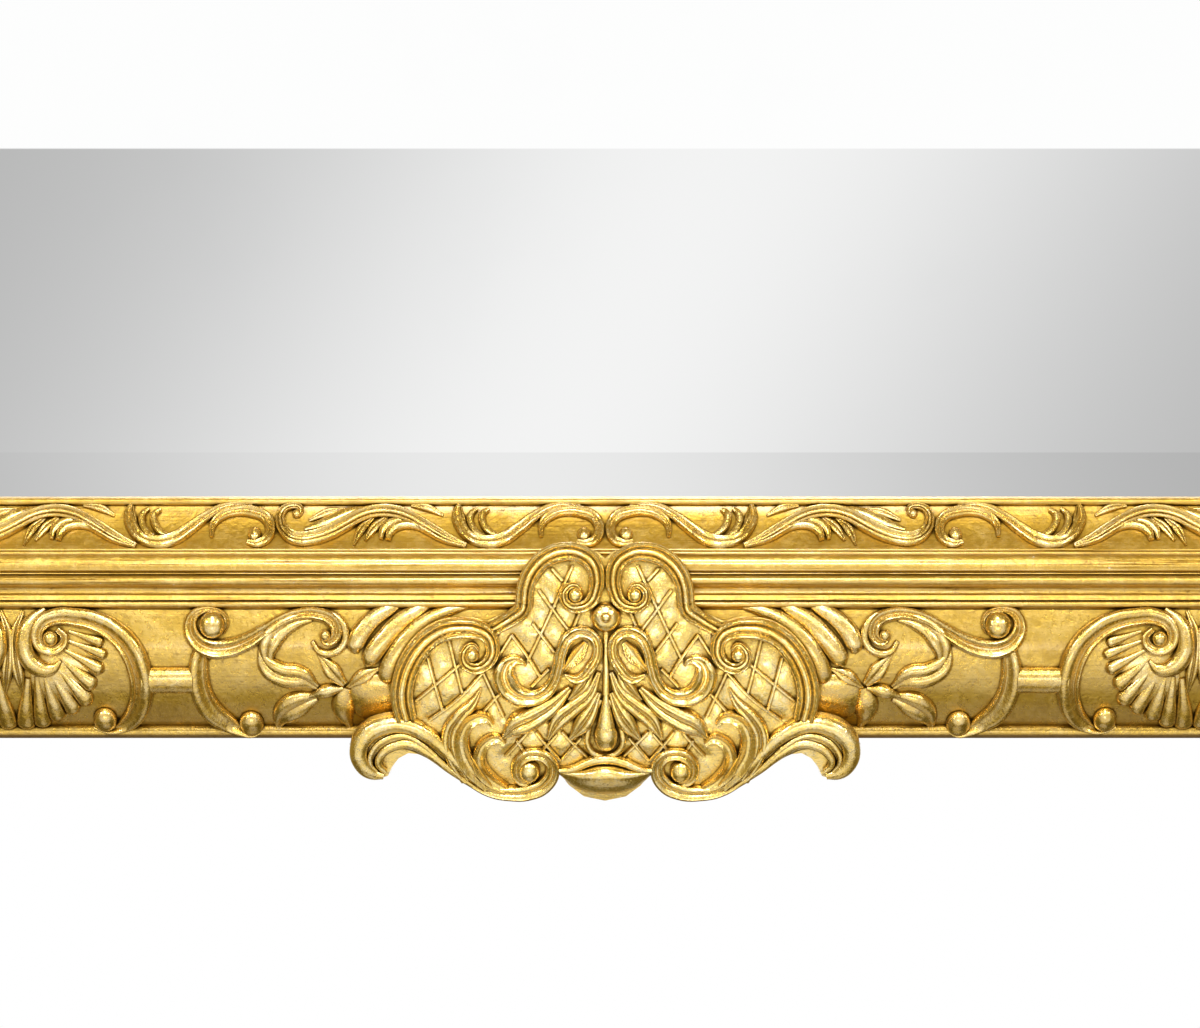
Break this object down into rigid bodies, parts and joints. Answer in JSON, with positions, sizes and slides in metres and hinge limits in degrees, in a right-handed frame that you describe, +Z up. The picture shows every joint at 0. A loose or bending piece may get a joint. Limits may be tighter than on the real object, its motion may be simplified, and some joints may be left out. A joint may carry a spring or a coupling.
{
  "type": "carved gilt wall mirror",
  "caption": "Landscape wall mirror with a bevelled plate in a carved giltwood frame of reeded mouldings, scrolled cartouches and shell strapwork, hung by hinged rings let into its back.",
  "frame": {"origin": "middle of the back, on the wall plane", "axes": "+X to the viewer's right, +Z up, the carved front faces -Y and the back faces +Y"},
  "size_m": [1.2824, 0.0597, 0.9584],
  "materials": {
    "gilt": "burnished water gilding over gesso on carved wood, toned in the hollows",
    "pine": "planed, unfinished pine darkened with age",
    "packing": "sawn softwood",
    "steel": "dull steel",
    "brass": "dull brass",
    "mirror": "silvered plate with a bevelled edge"
  },
  "bodies": {
    "mirror": {"back_bottom_rail": "pine", "back_left_stile": "pine", "back_right_stile": "pine", "back_top_rail": "pine", "backboard_centre": "pine", "backboard_left": "pine", "backboard_right": "pine", "backboard_screws": "steel", "bottom_cartouche": "gilt", "bottom_left_corner_cartouche": "gilt", "bottom_right_corner_cartouche": "gilt", "cartouche_screws": "steel", "hanger_screws": "steel", "hanger_strap_left": "brass", "hanger_strap_right": "brass", "lap_screws": "steel", "left_cartouche": "gilt", "mirror_glass": "mirror", "outer_moulding_bottom": "gilt", "outer_moulding_left": "gilt", "outer_moulding_right": "gilt", "outer_moulding_top": "gilt", "packing_pins": "steel", "packing_slip_bottom": "packing", "packing_slip_left": "packing", "packing_slip_right": "packing", "packing_slip_top": "packing", "reeded_moulding_bottom": "gilt", "reeded_moulding_left": "gilt", "reeded_moulding_right": "gilt", "reeded_moulding_top": "gilt", "right_cartouche": "gilt", "setting_blocks": "packing", "sight_moulding_bottom": "gilt", "sight_moulding_left": "gilt", "sight_moulding_right": "gilt", "sight_moulding_top": "gilt", "top_cartouche": "gilt", "top_left_corner_cartouche": "gilt", "top_right_corner_cartouche": "gilt"},
    "left_ring": {"hanging_ring_left": "brass"},
    "right_ring": {"hanging_ring_right": "brass"}
  },
  "joints": [
    {"name": "left_ring_hinge", "type": "hinge", "parent": "mirror", "child": "left_ring", "pos_m": [-0.5335, -0.00382, 0.158], "axis": [1, 0, 0], "range_deg": [0, 175]},
    {"name": "right_ring_hinge", "type": "hinge", "parent": "mirror", "child": "right_ring", "pos_m": [0.5335, -0.00382, 0.158], "axis": [1, 0, 0], "range_deg": [0, 175]}
  ]
}
